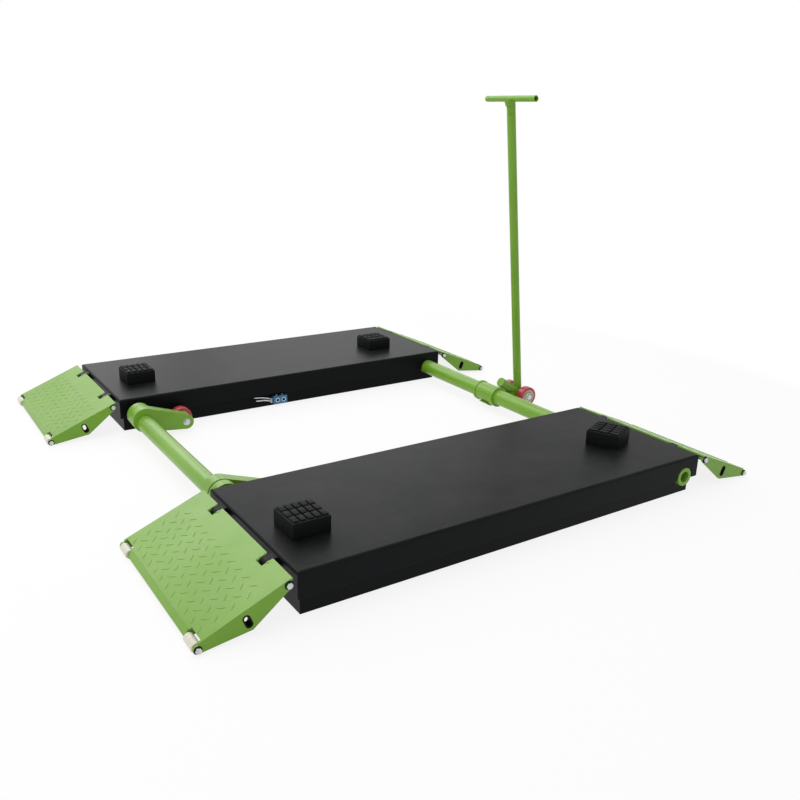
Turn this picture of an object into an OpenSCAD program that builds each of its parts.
// Mobile scissor car lift, shown folded flat on the floor.
// Two low platforms stand side by side. Each is a deck on two scissor arm pairs over a
// welded base frame. Two cross tubes join the base frames. The front tube carries two
// wheel arms, and a T-handled dolly hooks on to the sleeve of the rear tube.
// X runs along the platforms to the rear, Y runs across them, and Z is up from the floor.
// Each platform is drawn about its own middle, with +Y on the side that faces the other.

/* [Platforms] */
// Length of each deck
deck_len = 1420; // [1380:10:1500]
// Width of each deck
deck_w = 535; // [515:5:600]
// Height of the folded deck's top above the floor
deck_h = 125; // [125:1:135]
// Free width between the two platforms
gap_w = 875; // [850:5:1000]
// Thickness of the deck plate
deck_t = 5; // [4:0.5:6]
// Thickness of the folded skirts round the deck
skirt_t = 5; // [3:0.5:8]
// Depth of the skirts, from the deck's top
skirt_depth = 71; // [66:1:74]
// Radius of the deck's folded top edges
deck_round = 8; // [6:1:9]

/* [Base frame] */
// Distance from the deck's end back to the base frame's end
base_inset_x = 15; // [12:1:18]
// Distance from the deck's side in to the base frame's side
base_inset_y = 20; // [16:1:22]
// Thickness of the side rails and end plates
rail_t = 6; // [4:0.5:8]
// Height of the rails at the front
rail_h_front = 47; // [40:1:50]
// Height of the rails at the rear
rail_h_rear = 54; // [45:1:58]
// Thickness of the flat cross members on the floor
cross_t = 6; // [4:0.5:8]
// Width of each flat cross member
cross_w = 110; // [90:5:120]
// Thickness of the upright saddle plates, which also stop the folded deck
saddle_t = 10; // [8:0.5:11]
// Width of a saddle plate
saddle_w = 76; // [72:2:78]

/* [Scissor] */
// Height of the lower pivots and the lower rollers
lower_z = 38; // [38:1:40]
// Height of the upper pivots and the upper rollers, folded
upper_z = 88; // [88:1:90]
// Distance from the deck's rear end to the fixed pivots
pivot_inset = 150; // [140:5:170]
// Distance from the deck's front end to the folded arms' rollers
roller_inset = 121; // [121:1:135]
// Angle that the arms rise through
lift_angle = 45; // [30:1:45]
// Height of an arm's flat bar
arm_h = 50; // [44:1:50]
// Thickness of an arm's flat bar
arm_t = 16; // [12:1:16]
// Distance from the deck's side in to the outer arms' middle
outer_arm_inset = 67.5; // [67.5:0.5:69.5]
// Free width between an outer and an inner arm
arm_gap = 8; // [5:1:8]
// Diameter of the four cross shafts
shaft_d = 24; // [20:1:28]
// Diameter of the centre pins
centre_pin_d = 28; // [24:1:32]
// Diameter of the steel rollers
roller_d = 50; // [46:1:50]
// Width of the steel rollers
roller_w = 18; // [14:1:18]
// Diameter of the round braces between the arms
brace_d = 30; // [24:1:30]

/* [Hydraulic cylinder] */
// Distance from the fixed pivots forward to the cylinder's foot pin
foot_x = 394; // [384:1:404]
// Height of the foot pin
foot_z = 30; // [28:1:32]
// Distance along the inner arm from its upper pivot to the rod pin
head_s = 685; // [675:1:695]
// Distance of the rod pin above the inner arm's middle line
head_n = 38; // [34:1:40]
// Outside diameter of the barrel
barrel_d = 56; // [50:1:58]
// Distance from the foot pin to the barrel's open end
barrel_end = 205; // [190:1:215]
// Diameter of the piston rod
piston_rod_d = 30; // [24:1:32]
// Diameter of the two clevis pins
clevis_pin_d = 18; // [16:1:20]
// Free play of the rod pin in its wide hole, on the radius
head_play = 3.6; // [3.4:0.1:4.4]
// Side of the square cross beam that the rod pushes
beam_w = 36; // [30:1:38]

/* [Ramps] */
// Distance from the deck's end out to the ramp's hinge
hinge_out = 25; // [23:1:30]
// Distance from the deck's top down to the hinge
hinge_drop = 20; // [19:1:24]
// Overall width of a ramp
ramp_w = 549; // [549:1:620]
// Distance from the hinge to the ramp's tip fold, along the plate
ramp_len = 231; // [215:1:260]
// Thickness of the ramp's plate
ramp_t = 5; // [4:0.5:6]
// Thickness of the ramp's side plates
cheek_t = 6; // [4:0.5:6]
// Height of the ramp plate's top over the hinge
ramp_rise = 12; // [12:0.5:14]
// Depth of the side plates' corner below the hinge
apex_drop = 45; // [40:1:52]
// Width of the lip that is bent down at the tip
lip_w = 22; // [18:1:24]
// Angle of the lip below the plate
lip_angle = 40; // [30:1:50]
// Diameter of the nylon tip rollers
tip_roller_d = 25; // [23:1:27]
// Length of the nylon tip rollers
tip_roller_len = 50; // [40:1:60]
// Diameter of the hinge rods
hinge_rod_d = 12; // [10:1:13]
// Diameter of the tip bolts
tip_bolt_d = 10; // [8:1:12]
// Distance from the platform's middle to each hinge lug
hinge_lug_y = 155; // [140:5:170]
// Width of a hinge lug
hinge_lug_w = 25; // [20:1:30]

/* [Lifting pads] */
// Length of a rubber pad, along the platform
pad_len = 108; // [90:1:130]
// Width of a rubber pad
pad_w = 110; // [90:1:130]
// Height of a rubber pad
pad_h = 50; // [40:1:70]
// Width of the grooves between the raised tiles
groove_w = 5.5; // [3:0.5:6]
// Height of the raised tiles
tile_rise = 5; // [3:0.5:8]
// Width of the ledge round the raised tiles
pad_rim = 5; // [3:0.5:8]
// Near front pad: distance from the deck's end, distance across, and turn
near_front_pad = [113, -72, 0]; // [-90:1:220]
// Near rear pad
near_rear_pad = [172, -38, 24]; // [-90:1:220]
// Far front pad
far_front_pad = [133, 48, 0]; // [-90:1:220]
// Far rear pad
far_rear_pad = [217, 61, 0]; // [-90:1:220]

/* [Cross tubes] */
// Outside diameter of both cross tubes
tube_d = 60.3; // [56:0.1:61]
// Bore of both cross tubes
tube_bore = 36; // [30:1:50]
// Distance from the deck's end in to the tube's middle
tube_inset = 57; // [55:1:58]
// Height of the tubes' middle
tube_z = 61; // [60:1:62]
// Outside diameter of the sleeve round the rear tube
sleeve_d = 75; // [72:1:80]
// Length of the sleeve
sleeve_len = 117; // [100:1:150]
// Outside diameter of the bands at the sleeve's ends
band_d = 80; // [77:1:84]
// Width of the far band, and of the wider near band
band_w = [11, 19]; // [8:1:24]

/* [Front wheels] */
// Outside diameter of the wheel arms' ring
ring_d = 88; // [86:1:104]
// Height of the rings' and collars' middle above the tube's middle
ring_rise = 11; // [6:1:12]
// Thickness of a wheel arm and its ring
wheel_arm_t = 43; // [34:1:44]
// Distance from the tube's middle to the wheel's middle
wheel_arm_len = 152; // [145:1:170]
// Distance from the platform's side in to the flange collar
collar_gap = 28; // [20:1:34]
// Width of the flange collar beside the wheel arm's ring
collar_w = 32; // [26:1:40]
// Outside diameter of the flange collar
collar_d = 86; // [84:1:100]
// Diameter of the four red wheels
wheel_d = 80; // [76:1:84]
// Width of a red wheel
wheel_w = 35; // [30:1:36]
// Diameter of the wheel bolts and of the dolly's axle
axle_d = 14; // [12:1:16]

/* [Dolly] */
// Distance from the rear tube's middle back to the dolly's axle
dolly_reach = 152; // [146:1:165]
// Free width between the dolly's two wheels
dolly_gap = 70; // [64:1:80]
// Diameter of the handle's stem
stem_d = 33; // [30:1:36]
// Height of the cross grip's middle
grip_z = 1192; // [1100:1:1250]
// Angle that the stem leans forward
stem_lean = 6.8; // [5:0.1:8]
// Length of the cross grip
grip_len = 272; // [250:1:340]
// Diameter of the cross grip
grip_d = 22; // [20:1:28]
// Diameter of the round tongue
tongue_d = 38; // [34:1:40]
// Length of the tongue, from the dolly's axle
tongue_len = 115; // [108:1:120]
// Angle of the tongue above the floor
tongue_angle = 32; // [30:1:34]
// Thickness of the hook that cradles the sleeve
hook_t = 8; // [7:1:10]
// Width of the hook
hook_w = 44; // [36:1:50]

/* [Hydraulic coupling] */
// Length of the blue coupling block
block_len = 59; // [50:1:70]
// Height of the block
block_h = 32; // [28:1:33]
// Depth of the block, out from the rail
block_depth = 29; // [26:1:34]
// Distance from the platforms' middle forward to the block's rear end
block_ahead = 47; // [40:1:60]

/* [Clearances] */
// Running clearance of pins, shafts and tubes in their bores, on the radius
run_clear = 0.05; // [0.03:0.01:0.08]
// Free space between curved faces that pass each other
pass_clear = 0.3; // [0.3:0.05:0.5]

/* [Hidden] */
$fn = 64;

black = "#26282a";
green = "#7cc242";
steel = "#b9bec2";
red = "#b3262f";
cream = "#ece3c4";
rubber = "#1b1c1e";
blue = "#2a6fb0";

half_len = deck_len / 2;
half_w = deck_w / 2;
platform_y = gap_w / 2 + half_w;
deck_under = deck_h - deck_t;
skirt_bottom = deck_h - skirt_depth;
base_half_len = half_len - base_inset_x;
base_half_w = half_w - base_inset_y;
rail_in = base_half_w - rail_t;
saddle_in = rail_in - saddle_t;
tube_x = half_len - tube_inset;
notch_r = tube_d / 2 + 4;
weld = 1;
seam = 0.1;
side_gap = 3;
pin_end = 3;
washer_t = 2;

pivot_x = half_len - pivot_inset;
span = deck_len - pivot_inset - roller_inset;
arm_len = norm([span, upper_z - lower_z]);
fold_angle = atan((upper_z - lower_z) / span);
roller_x = pivot_x - span;
raised_roller_x = pivot_x - arm_len * cos(fold_angle + lift_angle);
outer_arm_y = half_w - outer_arm_inset;
inner_arm_y = outer_arm_y - arm_t - arm_gap;
outer_arm_out = outer_arm_y + arm_t / 2;
inner_arm_in = inner_arm_y - arm_t / 2;
upper_roller_y = outer_arm_out + side_gap;
lower_roller_y = inner_arm_in - side_gap - roller_w;
track_end = roller_x - roller_d / 2 - 12;
track_in = raised_roller_x + roller_d / 2 + 25;
mid_cross_gap = 130;
mid_cross_x = raised_roller_x + mid_cross_gap;
track_border = 6;
lug_t = 12;
lug_r = 20;
outer_brace = [100, 8];
inner_brace = [200, 5];
pin_head = [centre_pin_d + 10, 5];

foot_at = [pivot_x - foot_x, foot_z];
head_at = [pivot_x - head_s * cos(fold_angle) - head_n * sin(fold_angle),
    upper_z - head_s * sin(fold_angle) + head_n * cos(fold_angle)];
stroke_len = norm(head_at - foot_at);
barrel_angle = atan2(head_at[1] - foot_at[1], foot_at[0] - head_at[0]);
clevis_in = piston_rod_d / 2 + 3;
clevis_t = 10;
foot_clevis_in = clevis_in + 6;
eye_r = 18;
eye_step = 2;
neck_len = 34;
barrel_start = 26;
bore_start = 50;
rod_start = 62;
beam_past_head = 75;
beam_s = head_s + beam_past_head;
beam_n = 12;

hinge_z = deck_h - hinge_drop;
hinge_x = half_len + hinge_out;
tip_a = ramp_len + 8;
tip_b = ramp_rise - 1.5 - tip_roller_d / 2;
ramp_angle = asin((hinge_z - tip_roller_d / 2) / norm([tip_a, tip_b])) - atan(-tip_b / tip_a);
ramp_half_w = ramp_w / 2;
roller_out = ramp_half_w - cheek_t - side_gap;
roller_in = roller_out - tip_roller_len;
ear_t = 6;
ear_gap = 2;
ear_len = 30;
tip_ear_len = 42;
lip_half = roller_in - ear_gap - ear_t / 2;
plate_start = -15;
hinge_boss_r = 13;
hinge_room = 5;
tip_room = 4;
apex_a = 116;
hinge_washer_d = 22;
hinge_head_d = 17;
tip_washer_d = 20;
tip_head_d = 16;
head_t = 6;

collar_out = gap_w / 2 - collar_gap;
ring_out = collar_out - collar_w - 4;
arm_end_r = 27;
wheel_drop = tube_z - wheel_d / 2;
wheel_x = -tube_x + sqrt(wheel_arm_len * wheel_arm_len - wheel_drop * wheel_drop);
arm_slope = atan(wheel_drop / (wheel_x + tube_x));
ring_at = ring_rise * [sin(arm_slope), cos(arm_slope)];
front_wheel_in = ring_out + side_gap;
wheel_washer_d = 26;
wheel_head_d = 20;
wheel_head_t = 7;
spacer_d = 24;
nut_d = 22;
nut_t = 8;
dolly_x = tube_x + dolly_reach;
dolly_z = wheel_d / 2;
housing_r = 20;
hook_arm_w = 26;

// Extrudes a side view, drawn in X and Z, from y0 to y1.
module slab(y0, y1) {
    translate([0, y1, 0]) rotate([90, 0, 0]) linear_extrude(y1 - y0) children();
}

// A round bar along Y at x, z, from y0 to y1.
module rod_y(x, z, d, y0, y1) {
    translate([x, y1, z]) rotate([90, 0, 0]) cylinder(d = d, h = y1 - y0);
}

module both_sides() {
    children();
    mirror([0, 1, 0]) children();
}

// Places a platform's piece: near is at -Y, and far is its mirror image.
module near_side() {
    translate([0, -platform_y, 0]) children();
}

module far_side() {
    mirror([0, 1, 0]) near_side() children();
}

// A side view of a flat bar from p to q. Its round ends stand a hair proud of its edges,
// so that arc and edge cross at a clear angle.
module bar_2d(p, q, w) {
    run = q - p;
    translate(p) circle(d = w);
    translate(q) circle(d = w);
    translate(p) rotate(atan2(run[1], run[0])) translate([0, seam - w / 2])
        square([norm(run), w - 2 * seam]);
}

// Where the side between two round corners, p of radius r and q of radius s, leaves each.
function side_of(p, r, q, s) =
    let (run = q - p, turn = atan2(run[1], run[0]) - acos((r - s) / norm(run)),
        out = [cos(turn), sin(turn)])
    [p + (r - seam) * out, q + (s - seam) * out];

// Outer arms run forward and up from the lower pivot; X is along the arm.
module on_outer_arm() {
    translate([pivot_x, 0, lower_z]) mirror([1, 0, 0]) rotate([0, -fold_angle, 0]) children();
}

// Inner arms run forward and down from the upper pivot; X is along the arm.
module on_inner_arm() {
    translate([pivot_x, 0, upper_z]) mirror([1, 0, 0]) rotate([0, fold_angle, 0]) children();
}

// The cylinder's axis, from its foot pin; X is along the rod.
module on_cylinder() {
    translate([foot_at[0], 0, foot_at[1]]) mirror([1, 0, 0]) rotate([0, -barrel_angle, 0])
        children();
}

// A ramp's hinge; X is along the ramp's plate. end is -1 at the front, 1 at the rear.
module at_ramp(end) {
    mirror([end < 0 ? 1 : 0, 0, 0]) translate([hinge_x, 0, hinge_z]) rotate([0, ramp_angle, 0])
        children();
}

// The deck's outline seen from one end, with its two round top corners.
module skirt_2d(w) {
    drop = skirt_depth - deck_round;
    translate([-w / 2, skirt_bottom]) square([w, drop]);
    translate([-w / 2 + deck_round, skirt_bottom]) square([w - 2 * deck_round, skirt_depth]);
    for (s = [-1, 1])
        translate([s * (w / 2 - deck_round), deck_h - deck_round]) circle(r = deck_round);
}

// An open-bottomed notch that lets the deck rise off a cross tube.
module tube_notch(x, y0, y1) {
    rod_y(x, tube_z, 2 * notch_r, y0, y1);
    translate([x - notch_r, y0, 0]) cube([2 * notch_r, y1 - y0, tube_z]);
}

module deck_shell() {
    difference() {
        intersection() {
            rotate([90, 0, 90]) linear_extrude(deck_len, center = true) skirt_2d(deck_w);
            rotate([90, 0, 0]) linear_extrude(deck_w, center = true) skirt_2d(deck_len);
        }
        translate([-half_len + skirt_t, -half_w + skirt_t, 0])
            cube([deck_len - 2 * skirt_t, deck_w - 2 * skirt_t, deck_under]);
        tube_notch(tube_x, -half_w - 1, half_w + 1);
        tube_notch(-tube_x, 0, half_w + 1);
    }
}

// Lugs on the deck's ends, which carry the ramps' hinge rods.
module hinge_lugs() {
    for (end = [-1, 1], s = [-1, 1])
        slab(s * hinge_lug_y - hinge_lug_w / 2, s * hinge_lug_y + hinge_lug_w / 2)
            difference() {
                bar_2d([end * (half_len - weld), hinge_z], [end * hinge_x, hinge_z],
                    2 * hinge_boss_r);
                translate([end * hinge_x, hinge_z]) circle(d = hinge_rod_d + 2 * run_clear);
                translate([end * (half_len - skirt_t - 2 * hinge_boss_r) - hinge_boss_r,
                    hinge_z - hinge_boss_r]) square(2 * hinge_boss_r);
            }
}

module deck() {
    color(black) {
        deck_shell();
        hinge_lugs();
    }
}

// The tracks for the upper rollers and the upper pivot's lugs, welded under the deck.
module deck_rails() {
    track_z = upper_z + roller_d / 2 + pass_clear;
    track_y = upper_roller_y - side_gap;
    color(black) both_sides() {
        translate([track_end, track_y, track_z])
            cube([track_in - track_end, saddle_in - pass_clear - track_y, deck_under - track_z]);
        slab(inner_arm_in - side_gap - lug_t, inner_arm_in - side_gap) difference() {
            union() {
                translate([pivot_x, upper_z]) circle(r = lug_r);
                translate([pivot_x - lug_r, upper_z]) square([2 * lug_r, deck_under - upper_z]);
            }
            translate([pivot_x, upper_z]) circle(d = shaft_d + 2 * run_clear);
        }
    }
}

// One upright saddle plate, whose top stops the folded deck.
module saddle(x, bored) {
    slab(saddle_in, rail_in + weld) difference() {
        translate([x - saddle_w / 2, 0]) square([saddle_w, deck_under]);
        if (bored) translate([x, tube_z]) circle(d = tube_d + 2 * run_clear);
    }
}

module side_rails() {
    difference() {
        both_sides() slab(rail_in, base_half_w) polygon([[-base_half_len, 0],
            [base_half_len, 0], [base_half_len, rail_h_rear], [-base_half_len, rail_h_front]]);
        rod_y(tube_x, tube_z, tube_d + 2 * pass_clear, -half_w, half_w);
        rod_y(-tube_x, tube_z, tube_d + 2 * pass_clear, 0, half_w);
    }
}

// The two legs of a clevis that stands on a cross member.
module clevis_legs(x, z, r, pin_d, y0, t) {
    both_sides() slab(y0, y0 + t) difference() {
        union() {
            translate([x, z]) circle(r = r);
            translate([x - r, 0]) square([2 * r, z]);
        }
        translate([x, z]) circle(d = pin_d + 2 * run_clear);
    }
}

module base_frame() {
    cross_x = [-base_half_len + cross_w / 2, mid_cross_x, foot_at[0], pivot_x,
        base_half_len - cross_w / 2];
    color(black) {
        side_rails();
        for (x = cross_x)
            translate([x - cross_w / 2, -rail_in - weld, 0])
                cube([cross_w, 2 * rail_in + 2 * weld, cross_t]);
        for (end = [-1, 1])
            translate([end * (base_half_len - rail_t / 2) - rail_t / 2, -rail_in - weld, 0])
                cube([rail_t, 2 * rail_in + 2 * weld, end < 0 ? rail_h_front : rail_h_rear]);
        both_sides() translate([track_end, lower_roller_y - track_border, 0])
            cube([mid_cross_x - track_end, roller_w + 2 * track_border,
                lower_z - roller_d / 2 - pass_clear]);
        both_sides() saddle(tube_x, true);
        saddle(-tube_x, true);
        mirror([0, 1, 0]) saddle(-tube_x, false);
        clevis_legs(pivot_x, lower_z, lug_r, shaft_d, outer_arm_out + side_gap, lug_t);
        clevis_legs(foot_at[0], foot_at[1], eye_r, clevis_pin_d, foot_clevis_in, clevis_t);
    }
}

module outer_arms() {
    color(black) on_outer_arm() {
        both_sides() slab(outer_arm_y - arm_t / 2, outer_arm_out) difference() {
            bar_2d([0, 0], [arm_len, 0], arm_h);
            circle(d = shaft_d + 2 * run_clear);
            translate([arm_len, 0]) circle(d = shaft_d + 2 * run_clear);
            translate([arm_len / 2, 0]) circle(d = centre_pin_d + 2 * run_clear);
        }
        rod_y(outer_brace[0], -outer_brace[1], brace_d, -outer_arm_y, outer_arm_y);
        rod_y(arm_len - outer_brace[0], outer_brace[1], brace_d, -outer_arm_y, outer_arm_y);
    }
}

// The lugs on the cross beam that the piston rod pushes through its pin.
module beam_lugs() {
    both_sides() slab(clevis_in, clevis_in + clevis_t) difference() {
        bar_2d([head_s, head_n], [beam_s, beam_n], 2 * lug_r);
        translate([head_s, head_n]) circle(d = clevis_pin_d + 2 * head_play);
    }
}

module inner_arms() {
    color(black) on_inner_arm() {
        both_sides() slab(inner_arm_in, inner_arm_y + arm_t / 2) difference() {
            bar_2d([0, 0], [arm_len, 0], arm_h);
            circle(d = shaft_d + 2 * run_clear);
            translate([arm_len, 0]) circle(d = shaft_d + 2 * run_clear);
            translate([arm_len / 2, 0]) circle(d = centre_pin_d + 2 * run_clear);
        }
        rod_y(inner_brace[0], inner_brace[1], brace_d, -inner_arm_y, inner_arm_y);
        translate([beam_s - beam_w / 2, -inner_arm_y, beam_n - beam_w / 2])
            cube([beam_w, 2 * inner_arm_y, beam_w]);
        beam_lugs();
    }
}

// Centre pins with a wide head outside the outer arm.
module centre_pins() {
    color(steel) on_outer_arm() both_sides() {
        rod_y(arm_len / 2, 0, centre_pin_d, inner_arm_in - pin_end, outer_arm_out);
        rod_y(arm_len / 2, 0, pin_head[0], outer_arm_out, outer_arm_out + pin_head[1]);
    }
}

// A full-width shaft; half_y is its half length.
module cross_shaft(x, z, half_y) {
    color(steel) rod_y(x, z, shaft_d, -half_y, half_y);
}

// A pair of steel rollers, one at each side, from y0 outward.
module roller_pair(x, z, y0) {
    color(steel) both_sides() difference() {
        rod_y(x, z, roller_d, y0, y0 + roller_w);
        rod_y(x, z, shaft_d + 2 * run_clear, y0 - 1, y0 + roller_w + 1);
    }
}

module cylinder_barrel() {
    neck_y = clevis_in - eye_step;
    neck_z = eye_r - eye_step;
    color(black) on_cylinder() difference() {
        union() {
            rod_y(0, 0, 2 * eye_r, -clevis_in - eye_step, clevis_in + eye_step);
            translate([0, -neck_y, -neck_z]) cube([neck_len, 2 * neck_y, 2 * neck_z]);
            translate([barrel_start, 0, 0]) rotate([0, 90, 0])
                cylinder(d = barrel_d, h = barrel_end - barrel_start);
        }
        rod_y(0, 0, clevis_pin_d + 2 * run_clear, -barrel_d, barrel_d);
        translate([bore_start, 0, 0]) rotate([0, 90, 0])
            cylinder(d = piston_rod_d + 2 * run_clear, h = barrel_end);
    }
}

module cylinder_rod() {
    eye_half = piston_rod_d / 2 + weld;
    color(steel) on_cylinder() difference() {
        union() {
            translate([rod_start, 0, 0]) rotate([0, 90, 0])
                cylinder(d = piston_rod_d, h = stroke_len - rod_start);
            rod_y(stroke_len, 0, 2 * eye_r, -eye_half, eye_half);
        }
        rod_y(stroke_len, 0, clevis_pin_d, -barrel_d, barrel_d);
    }
}

// A clevis pin at x, z, with half length half_y.
module clevis_pin(x, z, half_y) {
    color(steel) rod_y(x, z, clevis_pin_d, -half_y, half_y);
}

// One rubber lifting pad, a block with 5 x 3 raised tiles.
module pad() {
    nx = 5;
    ny = 3;
    tile_x = (pad_len - 2 * pad_rim - (nx - 1) * groove_w) / nx;
    tile_y = (pad_w - 2 * pad_rim - (ny - 1) * groove_w) / ny;
    translate([-pad_len / 2, -pad_w / 2, 0]) cube([pad_len, pad_w, pad_h - tile_rise]);
    for (i = [0 : nx - 1], j = [0 : ny - 1])
        translate([-pad_len / 2 + pad_rim + i * (tile_x + groove_w),
            -pad_w / 2 + pad_rim + j * (tile_y + groove_w), pad_h - tile_rise - weld])
            cube([tile_x, tile_y, tile_rise + weld]);
}

// Loose pads laid on a deck, at their places.
module pads(front_place, rear_place) {
    color(rubber) {
        translate([-half_len + front_place[0], front_place[1], deck_h])
            rotate(front_place[2]) pad();
        translate([half_len - rear_place[0], rear_place[1], deck_h])
            rotate(rear_place[2]) pad();
    }
}

// The side plate's outline: hinge end, deep corner and tip, with its upright slot.
module cheek_2d() {
    slot_r = 8.5;
    slot_low = 19;
    slot_top = 9;
    slot_a = apex_a + 2;
    corner_r = 8;
    hinge_r = hinge_boss_r - ear_gap;
    tip_r = tip_roller_d / 2 - ear_gap;
    top = ramp_rise - ramp_t / 2;
    corner = [apex_a, -apex_drop + corner_r];
    tip = [tip_a, tip_b];
    difference() {
        union() {
            circle(r = hinge_r);
            translate(tip) circle(r = tip_r);
            translate(corner) circle(r = corner_r);
            polygon(concat([[-hinge_r + seam, top]], side_of([0, 0], hinge_r, corner, corner_r),
                side_of(corner, corner_r, tip, tip_r), [[tip_a + tip_r - seam, tip_b],
                [ramp_len, top]]));
        }
        circle(d = hinge_rod_d + 2 * run_clear);
        translate(tip) circle(d = tip_bolt_d + 2 * run_clear);
        bar_2d([slot_a, -apex_drop + slot_low], [slot_a, -slot_top], 2 * slot_r);
    }
}

// Bored ears beside each hinge lug.
module hinge_ears() {
    for (s = [-1, 1], e = [-1, 1]) {
        y = s * hinge_lug_y + e * (hinge_lug_w / 2 + ear_gap + ear_t / 2);
        slab(y - ear_t / 2, y + ear_t / 2) difference() {
            union() {
                circle(r = hinge_boss_r);
                translate([0, -hinge_boss_r]) square([ear_len, hinge_boss_r + ramp_rise - weld]);
                translate([-hinge_boss_r, 0]) square([hinge_boss_r, ramp_rise - weld]);
            }
            circle(d = hinge_rod_d + 2 * run_clear);
        }
    }
}

module ramp_plate() {
    notch_w = hinge_lug_w + 2 * hinge_room;
    tip_notch_y = [-roller_out - ear_gap, roller_in - ear_gap];
    difference() {
        union() {
            translate([plate_start, -ramp_half_w, ramp_rise - ramp_t])
                cube([ramp_len - plate_start, ramp_w, ramp_t]);
            translate([ramp_len, -lip_half, ramp_rise]) rotate([0, lip_angle, 0])
                translate([-ramp_t * tan(lip_angle / 2), 0, -ramp_t])
                cube([lip_w, 2 * lip_half, ramp_t]);
        }
        for (s = [-1, 1]) {
            translate([plate_start - weld, s * hinge_lug_y - notch_w / 2, 0])
                cube([hinge_boss_r + hinge_room - plate_start, notch_w, 2 * ramp_rise]);
            translate([tip_a - tip_roller_d / 2 - tip_room, tip_notch_y[s > 0 ? 1 : 0], 0])
                cube([tip_roller_d, tip_roller_len + 2 * ear_gap, 2 * ramp_rise]);
        }
        both_sides()
            rod_y(tip_a, tip_b, tip_bolt_d + 2 * pass_clear, lip_half - ear_t, ramp_half_w);
    }
}

// The ear that holds the inner end of a tip bolt.
module tip_ear() {
    ear_r = tip_roller_d / 2 - side_gap;
    foot_z = tip_b - 6;
    slab(roller_in - ear_gap - ear_t, roller_in - ear_gap) difference() {
        union() {
            translate([tip_a, tip_b]) circle(r = ear_r);
            translate([tip_a - tip_ear_len, foot_z])
                square([tip_ear_len, ramp_rise - ramp_t / 2 - foot_z]);
        }
        translate([tip_a, tip_b]) circle(d = tip_bolt_d + 2 * run_clear);
        translate([ramp_len, ramp_rise]) rotate(-lip_angle) translate([0, -ramp_t / 2])
            square(2 * lip_w);
    }
}

module ramp(end) {
    color(green) at_ramp(end) {
        ramp_plate();
        hinge_ears();
        both_sides() slab(ramp_half_w - cheek_t, ramp_half_w) cheek_2d();
        both_sides() tip_ear();
    }
}

// A washer and a bolt head that point along Y from y0.
module bolt_head(x, z, washer_d, head_d, y0) {
    rod_y(x, z, washer_d, y0, y0 + washer_t);
    rod_y(x, z, head_d, y0 + washer_t, y0 + washer_t + head_t);
}

// A hinge rod from cheek to cheek, with a washer and a bolt head at each end.
module hinge_rod(end) {
    at_ramp(end) {
        rod_y(0, 0, hinge_rod_d, -ramp_half_w, ramp_half_w);
        both_sides() bolt_head(0, 0, hinge_washer_d, hinge_head_d, ramp_half_w);
    }
}

module ramp_hinge_rods() {
    color(steel) for (end = [-1, 1]) hinge_rod(end);
}

module tip_bolts(end) {
    color(steel) at_ramp(end) both_sides() {
        rod_y(tip_a, tip_b, tip_bolt_d, roller_in - 2 * ear_gap - ear_t, ramp_half_w);
        bolt_head(tip_a, tip_b, tip_washer_d, tip_head_d, ramp_half_w);
    }
}

module tip_rollers(end) {
    color(cream) at_ramp(end) both_sides() difference() {
        rod_y(tip_a, tip_b, tip_roller_d, roller_in, roller_out);
        rod_y(tip_a, tip_b, tip_bolt_d + 2 * run_clear, roller_in - 1, roller_out + 1);
    }
}

module cross_tube(x, half_y) {
    difference() {
        rod_y(x, tube_z, tube_d, -half_y, half_y);
        rod_y(x, tube_z, tube_bore, -half_y - 1, half_y + 1);
    }
}

// The front tube turns in the base frames' inner saddles and carries two flange collars.
module front_cross_tube() {
    color(green) {
        cross_tube(-tube_x, platform_y - saddle_in + 0.6 * saddle_t);
        both_sides() difference() {
            rod_y(ring_at[0] - tube_x, tube_z + ring_at[1], collar_d, collar_out - collar_w,
                collar_out);
            rod_y(-tube_x, tube_z, tube_d - 2 * weld, 0, gap_w);
        }
    }
}

module rear_cross_tube() {
    color(green) cross_tube(tube_x, platform_y + half_w);
}

// The sleeve round the rear tube, with a raised band at each end.
module tube_sleeve() {
    color(green) difference() {
        union() {
            rod_y(tube_x, tube_z, sleeve_d, -sleeve_len / 2, sleeve_len / 2);
            rod_y(tube_x, tube_z, band_d, sleeve_len / 2 - band_w[0], sleeve_len / 2);
            rod_y(tube_x, tube_z, band_d, -sleeve_len / 2, band_w[1] - sleeve_len / 2);
        }
        rod_y(tube_x, tube_z, tube_d + 2 * run_clear, -sleeve_len, sleeve_len);
    }
}

// A ring on the front tube with a thick arm back to the wheel.
module wheel_arm() {
    wheel_at = [wheel_arm_len, 0];
    under = side_of([0, ring_rise], ring_d / 2, wheel_at, arm_end_r);
    over = side_of(wheel_at, arm_end_r, [0, ring_rise], ring_d / 2);
    color(green) translate([-tube_x, 0, tube_z]) rotate([0, arm_slope, 0]) difference() {
        union() {
            rod_y(0, ring_rise, ring_d, ring_out - wheel_arm_t, ring_out);
            rod_y(wheel_at[0], 0, 2 * arm_end_r, ring_out - wheel_arm_t, ring_out);
            slab(ring_out - wheel_arm_t, ring_out) polygon(concat(under, over));
        }
        rod_y(0, 0, tube_d + 2 * run_clear, 0, gap_w);
        rod_y(wheel_at[0], 0, axle_d + 2 * run_clear, 0, gap_w);
    }
}

// One wheel with a hub, from y0 outward.
module wheel(x, y0) {
    hub_r = 15;
    rim_r = 27;
    edge = 4;
    dish = 4;
    step = 1;
    slant = 2;
    bore_r = axle_d / 2 + run_clear;
    half = [[bore_r, 0], [hub_r, 0], [hub_r + slant, dish], [rim_r - slant, dish],
        [rim_r, step], [wheel_d / 2 - edge, step], [wheel_d / 2, step + edge]];
    back = [for (i = [len(half) - 1 : -1 : 0]) [half[i][0], wheel_w - half[i][1]]];
    color(red) translate([x, y0, wheel_d / 2]) rotate([-90, 0, 0]) rotate_extrude()
        polygon(concat(half, back));
}

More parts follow.
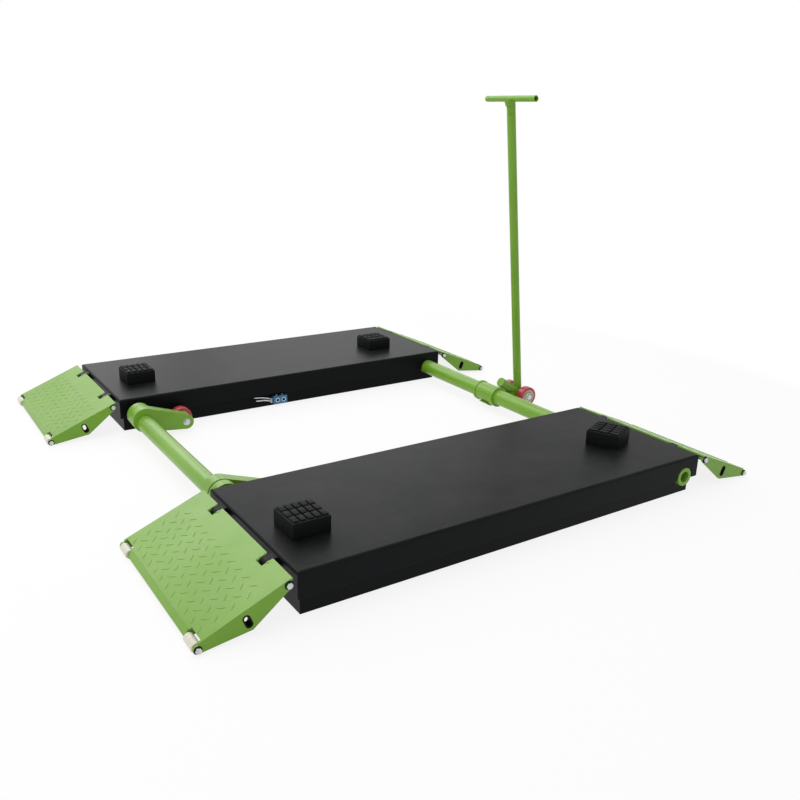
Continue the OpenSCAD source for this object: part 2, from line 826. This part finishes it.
module front_wheel_bolts() {
    z = wheel_d / 2;
    arm_in = ring_out - wheel_arm_t;
    wheel_out = front_wheel_in + wheel_w;
    color(steel) both_sides() {
        rod_y(wheel_x, z, axle_d, arm_in, wheel_out + weld);
        rod_y(wheel_x, z, wheel_washer_d, arm_in - washer_t, arm_in);
        rod_y(wheel_x, z, wheel_head_d, arm_in - washer_t - wheel_head_t, arm_in - washer_t);
        rod_y(wheel_x, z, spacer_d, ring_out, front_wheel_in);
        rod_y(wheel_x, z, nut_d, wheel_out, wheel_out + nut_t);
    }
}

// The blue coupling block on the far rail, with two ports and two short pipes.
module hydraulic_coupling() {
    pipe_d = 6;
    port_d = 11;
    port_depth = 12;
    port_pitch = 26;
    block_z = 12;
    rail_y = platform_y - base_half_w;
    face_y = rail_y - block_depth;
    pipe_y = rail_y - 8;
    front_x = -block_ahead - block_len;
    port_x = front_x + block_len / 2;
    low_pipe = [[front_x + pipe_d, 19], [front_x - 60, 30]];
    top_pipe = [[front_x + pipe_d, 28], [front_x - 68, 44]];
    color(blue) {
        difference() {
            translate([front_x, face_y, block_z]) cube([block_len, block_depth, block_h]);
            for (s = [-1, 1])
                rod_y(port_x + s * port_pitch / 2, block_z + block_h / 2, port_d,
                    face_y - weld, face_y + port_depth);
        }
        for (pipe = [low_pipe, top_pipe]) {
            slab(pipe_y - pipe_d / 2, pipe_y + pipe_d / 2) bar_2d(pipe[0], pipe[1], pipe_d);
            rod_y(pipe[1][0], pipe[1][1], pipe_d + 2 * weld, pipe_y - pipe_d / 2 - weld, rail_y);
        }
    }
}

// The housing and tongue, which the stem's foot is coped to fit.
module dolly_core() {
    housing_half = dolly_gap / 2 - ear_gap;
    rod_y(dolly_x, dolly_z, 2 * housing_r, -housing_half, housing_half);
    translate([dolly_x, 0, dolly_z]) rotate([0, tongue_angle - 90, 0])
        cylinder(d = tongue_d, h = tongue_len);
}

// The dolly's frame, with a hook that cradles the sleeve from below and behind.
module dolly_yoke() {
    hook_in = sleeve_d / 2 + pass_clear;
    hook_out = hook_in + hook_t;
    hook_foot = [tube_x + hook_out - 6, tube_z - 22];
    back_lip = tube_z + 8;
    front_lip = tube_z - 0.8 * hook_in;
    color(green) difference() {
        union() {
            dolly_core();
            difference() {
                union() {
                    rod_y(tube_x, tube_z, 2 * hook_out, -hook_w / 2, hook_w / 2);
                    slab(-hook_w / 2, hook_w / 2)
                        bar_2d([dolly_x, dolly_z], hook_foot, hook_arm_w);
                }
                rod_y(tube_x, tube_z, 2 * hook_in, -hook_w, hook_w);
                translate([tube_x - 2 * hook_out, -hook_w, front_lip])
                    cube([2 * hook_out, 2 * hook_w, 3 * hook_out]);
                translate([tube_x - weld, -hook_w, back_lip])
                    cube([2 * hook_out, 2 * hook_w, 2 * hook_out]);
            }
        }
        rod_y(dolly_x, dolly_z, axle_d + 2 * run_clear, -dolly_gap, dolly_gap);
    }
}

// The tubular stem and the open-ended cross grip.
module handle() {
    stem_len = (grip_z - dolly_z) / cos(stem_lean);
    stem_wall = 3;
    color(green) difference() {
        translate([dolly_x, 0, dolly_z]) rotate([0, -stem_lean, 0]) difference() {
            union() {
                cylinder(d = stem_d, h = stem_len);
                translate([0, grip_len / 2, stem_len]) rotate([90, 0, 0])
                    cylinder(d = grip_d, h = grip_len);
            }
            translate([0, 0, -weld]) cylinder(d = stem_d - 2 * stem_wall, h = stem_len - stem_d);
            translate([0, grip_len, stem_len]) rotate([90, 0, 0])
                cylinder(d = grip_d - 2 * stem_wall, h = 2 * grip_len);
        }
        dolly_core();
    }
}

module dolly_axle() {
    half_y = dolly_gap / 2 + wheel_w;
    axle_half = half_y + washer_t;
    color(steel) {
        rod_y(dolly_x, dolly_z, axle_d, -axle_half, axle_half);
        both_sides() rod_y(dolly_x, dolly_z, nut_d, half_y, half_y + head_t);
    }
}

shaft_to_lug = outer_arm_out + side_gap + lug_t + pin_end;
upper_roller_half = upper_roller_y + roller_w;
inner_half = inner_arm_y + arm_t / 2 + pin_end;
foot_pin_half = foot_clevis_in + clevis_t + pin_end;
head_pin_half = clevis_in + clevis_t + pin_end;

near_side() base_frame();  // near_base_frame
near_side() cross_shaft(pivot_x, lower_z, shaft_to_lug);  // near_lower_pivot_shaft
near_side() outer_arms();  // near_outer_arms
near_side() inner_arms();  // near_inner_arms
near_side() centre_pins();  // near_centre_pins
near_side() cross_shaft(pivot_x, upper_z, inner_half);  // near_upper_pivot_shaft
near_side() deck();  // near_deck
near_side() deck_rails();  // near_deck_rails
near_side() cross_shaft(roller_x, upper_z, upper_roller_half);  // near_upper_roller_shaft
near_side() cross_shaft(roller_x, lower_z, inner_half);  // near_lower_roller_shaft
near_side() roller_pair(roller_x, upper_z, upper_roller_y);  // near_upper_rollers
near_side() roller_pair(roller_x, lower_z, lower_roller_y);  // near_lower_rollers
near_side() cylinder_barrel();  // near_cylinder_barrel
near_side() cylinder_rod();  // near_cylinder_rod
near_side() clevis_pin(foot_at[0], foot_at[1], foot_pin_half);  // near_barrel_pin
near_side() clevis_pin(head_at[0], head_at[1], head_pin_half);  // near_rod_pin
near_side() pads(near_front_pad, near_rear_pad);  // near_pads
near_side() ramp(-1);  // near_ramp_front
near_side() ramp(1);  // near_ramp_rear
near_side() ramp_hinge_rods();  // near_ramp_hinge_rods
near_side() tip_bolts(-1);  // near_tip_bolts_front
near_side() tip_bolts(1);  // near_tip_bolts_rear
near_side() tip_rollers(-1);  // near_tip_rollers_front
near_side() tip_rollers(1);  // near_tip_rollers_rear
far_side() base_frame();  // far_base_frame
far_side() cross_shaft(pivot_x, lower_z, shaft_to_lug);  // far_lower_pivot_shaft
far_side() outer_arms();  // far_outer_arms
far_side() inner_arms();  // far_inner_arms
far_side() centre_pins();  // far_centre_pins
far_side() cross_shaft(pivot_x, upper_z, inner_half);  // far_upper_pivot_shaft
far_side() deck();  // far_deck
far_side() deck_rails();  // far_deck_rails
far_side() cross_shaft(roller_x, upper_z, upper_roller_half);  // far_upper_roller_shaft
far_side() cross_shaft(roller_x, lower_z, inner_half);  // far_lower_roller_shaft
far_side() roller_pair(roller_x, upper_z, upper_roller_y);  // far_upper_rollers
far_side() roller_pair(roller_x, lower_z, lower_roller_y);  // far_lower_rollers
far_side() cylinder_barrel();  // far_cylinder_barrel
far_side() cylinder_rod();  // far_cylinder_rod
far_side() clevis_pin(foot_at[0], foot_at[1], foot_pin_half);  // far_barrel_pin
far_side() clevis_pin(head_at[0], head_at[1], head_pin_half);  // far_rod_pin
far_side() pads(far_front_pad, far_rear_pad);  // far_pads
far_side() ramp(-1);  // far_ramp_front
far_side() ramp(1);  // far_ramp_rear
far_side() ramp_hinge_rods();  // far_ramp_hinge_rods
far_side() tip_bolts(-1);  // far_tip_bolts_front
far_side() tip_bolts(1);  // far_tip_bolts_rear
far_side() tip_rollers(-1);  // far_tip_rollers_front
far_side() tip_rollers(1);  // far_tip_rollers_rear
front_cross_tube();
rear_cross_tube();
tube_sleeve();
mirror([0, 1, 0]) wheel_arm();  // wheel_arm_near
wheel_arm();  // wheel_arm_far
mirror([0, 1, 0]) wheel(wheel_x, front_wheel_in);  // front_wheel_near
wheel(wheel_x, front_wheel_in);  // front_wheel_far
front_wheel_bolts();
hydraulic_coupling();
handle();
dolly_yoke();
dolly_axle();
mirror([0, 1, 0]) wheel(dolly_x, dolly_gap / 2);  // dolly_wheel_near
wheel(dolly_x, dolly_gap / 2);  // dolly_wheel_far
